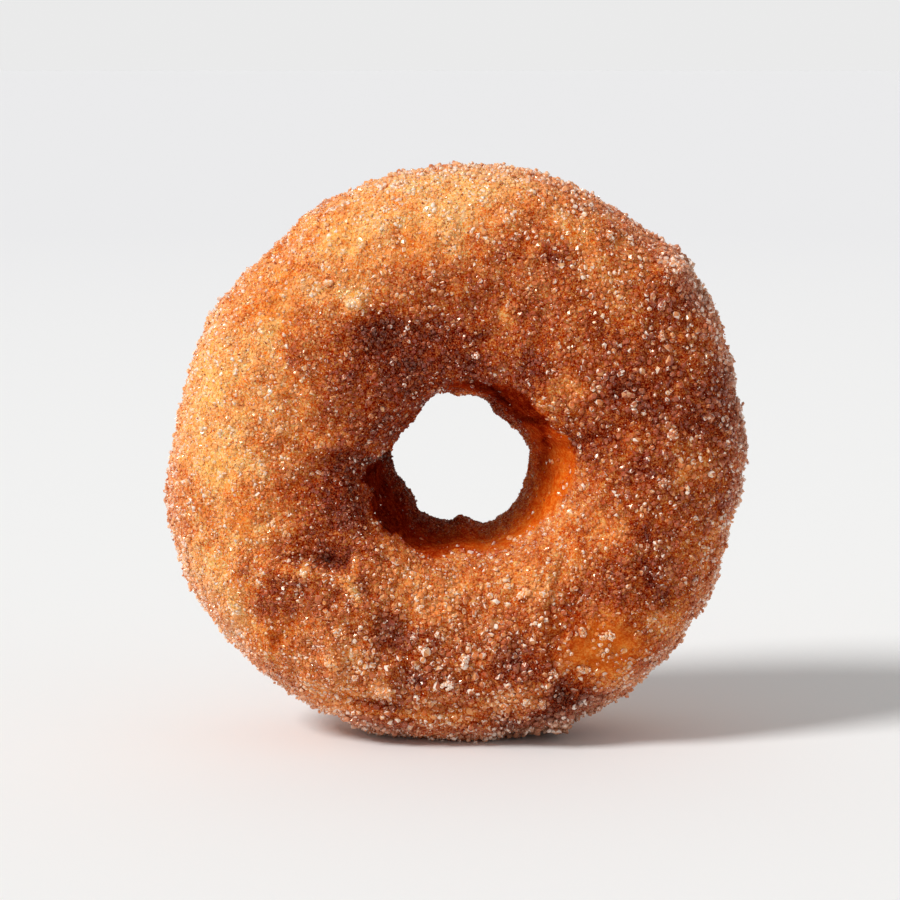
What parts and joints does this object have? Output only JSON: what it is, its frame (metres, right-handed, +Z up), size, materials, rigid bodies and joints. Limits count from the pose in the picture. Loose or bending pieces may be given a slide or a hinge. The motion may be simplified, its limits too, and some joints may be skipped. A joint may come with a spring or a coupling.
{
  "type": "cinnamon sugar ring doughnut",
  "caption": "Ring doughnut of fried gluten-free dough with a rough coat of cinnamon sugar, standing on its edge with its hole facing forward.",
  "frame": {"origin": "on the floor under the middle of the ring", "axes": "+Z up, the hole runs along Y, and the face that the picture shows looks to -Y"},
  "size_m": [0.0842, 0.0328, 0.0831],
  "materials": {
    "dough": "fried gluten-free dough, golden to brown, with fine cinnamon sugar stuck to it",
    "sugar": "loose white sugar crystals, partly clear, with glints on their faces",
    "cinnamon": "dry ground cinnamon specks"
  },
  "bodies": {
    "root": {"doughnut": "dough"}
  },
  "joints": []
}
